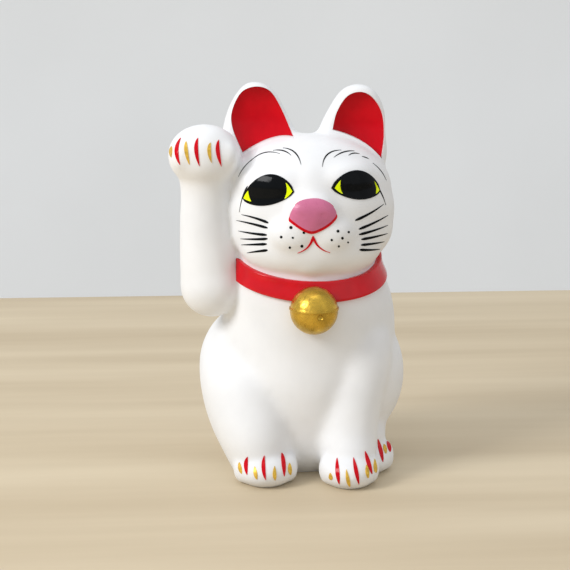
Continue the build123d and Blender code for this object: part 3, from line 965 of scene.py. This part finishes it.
class CAT_OT_ears(bpy.types.Operator):
    """Paint the inside of the ears"""

    bl_idname = "cat.ears"
    bl_label = "Paint the Ears"

    def execute(self, context):
        for node in ear_dishes:
            outline = dish_outline(node)
            hub = (sum(u for u, _ in outline) / len(outline), sum(v for _, v in outline) / len(outline))
            inner = [tuple(Vector(point).lerp(Vector(hub), 0.012)) for point in outline]
            lay("red_" + node, [patch(inner, 8, front)], 1, "red", "red_enamel", node, plane=front)
        return {"FINISHED"}


class CAT_OT_toes(bpy.types.Operator):
    """Paint the toe lines and the claws"""

    bl_idname = "cat.toes"
    bl_label = "Paint the Toes"

    def execute(self, context):
        lay("toe_lines_red", [ribbon(line, 1.5) for line in toe_lines], 2, "red", "red_enamel", "toe_lines")
        claws = [*paw_claws, *[drawn_out(line) for line in foot_claws], left_foot_claw]
        lay("claws_gold", [ribbon(line, 1.4) for line in claws], 2, "claw gold", "gold_paint", "claws")
        return {"FINISHED"}


def drawn_out(line):
    """A stroke made longer at both ends, away from its middle point."""
    top, middle, bottom = (Vector(point) for point in line)
    upper = middle + (top - middle) * claw_draw_up
    lower = middle + (bottom - middle) * claw_draw_down
    return tuple(upper), tuple(middle), tuple(lower)


class CAT_OT_stopper(bpy.types.Operator):
    """Give the stopper its soft, milky finish"""

    bl_idname = "cat.stopper"
    bl_label = "Fit the Stopper"

    def execute(self, context):
        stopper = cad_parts["base_plug"]
        stopper.data.materials.clear()
        stopper.data.materials.append(finishes["stopper"])
        return {"FINISHED"}


class CAT_OT_stage(bpy.types.Operator):
    """Set up the table, the wall, the soft light and the camera"""

    bl_idname = "cat.stage"
    bl_label = "Set the Stage"

    def execute(self, context):
        for surface in finish_stage():
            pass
        add_lights()
        add_camera()
        return {"FINISHED"}


def finish_stage():
    """A pale wooden table with a white wall some way behind it."""
    wood = Finish("pale wood table", 0.55, shine=0.2)
    grain = wood.noise(40.0, 5.0, wood.stretched((0.08, 1.0, 1.0)))
    wood.colour(wood.ramp(grain, (0.54, 0.44, 0.30), (0.68, 0.58, 0.42), 0.3, 0.7))
    bpy.ops.object.select_all(action="DESELECT")
    table_size, table_back, wall_y = 4, 0.33, 1.6
    bpy.ops.mesh.primitive_plane_add(size=table_size, location=(0, table_back - table_size / 2, 0))
    floor = bpy.context.object
    floor.name = "floor"
    settle(floor)
    floor.data.materials.append(wood.material)
    plaster = Finish("white wall", 0.8)
    plaster.colour(plaster.ramp(plaster.noise(300.0), (0.86, 0.86, 0.84), (0.90, 0.90, 0.88), 0.3, 0.7))
    bpy.ops.object.select_all(action="DESELECT")
    bpy.ops.mesh.primitive_plane_add(size=6, location=(0, wall_y, 0), rotation=(math.radians(90), 0, 0))
    wall = bpy.context.object
    wall.name = "wall"
    settle(wall)
    wall.data.materials.append(plaster.material)
    return floor, wall


def add_lights():
    """A large soft key from the upper left, a weak fill and a pale sky."""
    aim = Vector((0, 0, 0.07))
    for name, place, size, power in (
        ("key", (-0.9, -0.5, 0.72), 0.45, 9.0),
        ("fill", (0.9, -0.9, 0.5), 0.9, 0.5),
        ("top", (0.0, 0.1, 1.1), 0.8, 2.0),
    ):
        light = bpy.data.lights.new(name, "AREA")
        light.energy, light.size = power, size
        lamp = bpy.data.objects.new(name, light)
        lamp.location = place
        lamp.rotation_euler = (aim - Vector(place)).to_track_quat("-Z", "Y").to_euler()
        bpy.context.scene.collection.objects.link(lamp)
    world = bpy.data.worlds.new("sky")
    world.use_nodes = True
    world.node_tree.nodes["Background"].inputs["Color"].default_value = (0.95, 0.97, 1.0, 1)
    world.node_tree.nodes["Background"].inputs["Strength"].default_value = 0.68
    bpy.context.scene.world = world
    bpy.context.scene.view_settings.view_transform = "Standard"


def add_camera():
    """The camera: a long lens from the front, a little above and to the cat's right."""
    distance = 0.6
    aim = Vector((-1.15, 0, 76)) * MM
    data = bpy.data.cameras.new("camera")
    data.lens, data.sensor_width = 95.4, 36
    data.shift_y = -0.0163
    camera = bpy.data.objects.new("camera", data)
    camera.location = aim + face_out * distance
    camera.rotation_euler = (-face_out).to_track_quat("-Z", "Y").to_euler()
    bpy.context.scene.collection.objects.link(camera)
    bpy.context.scene.camera = camera


steps = (
    CAT_OT_clay, CAT_OT_collar, CAT_OT_bell, CAT_OT_face, CAT_OT_ears, CAT_OT_toes, CAT_OT_stopper,
    CAT_OT_stage,
)


class CAT_PT_bank(bpy.types.Panel):
    """The steps that make the cat, in their order, with its sizes and colours"""

    bl_idname = "CAT_PT_bank"
    bl_label = "Beckoning Cat"
    bl_space_type = "VIEW_3D"
    bl_region_type = "UI"
    bl_category = "Cat"

    def draw(self, context):
        for step in steps:
            self.layout.operator(step.bl_idname)
        for settings in (context.scene.cat_clay, context.scene.cat_paint):
            box = self.layout.box()
            for name in settings.__annotations__:
                box.prop(settings, name)


classes = (CatClaySettings, CatPaintSettings, *steps, CAT_PT_bank)


def register():
    for cls in classes:
        bpy.utils.register_class(cls)
    bpy.types.Scene.cat_clay = PointerProperty(type=CatClaySettings)
    bpy.types.Scene.cat_paint = PointerProperty(type=CatPaintSettings)


def unregister():
    del bpy.types.Scene.cat_paint
    del bpy.types.Scene.cat_clay
    for cls in reversed(classes):
        bpy.utils.unregister_class(cls)


def main():
    register()
    for step in steps:
        getattr(bpy.ops.cat, step.bl_idname.split(".")[1])()


if __name__ == "__main__":
    main()
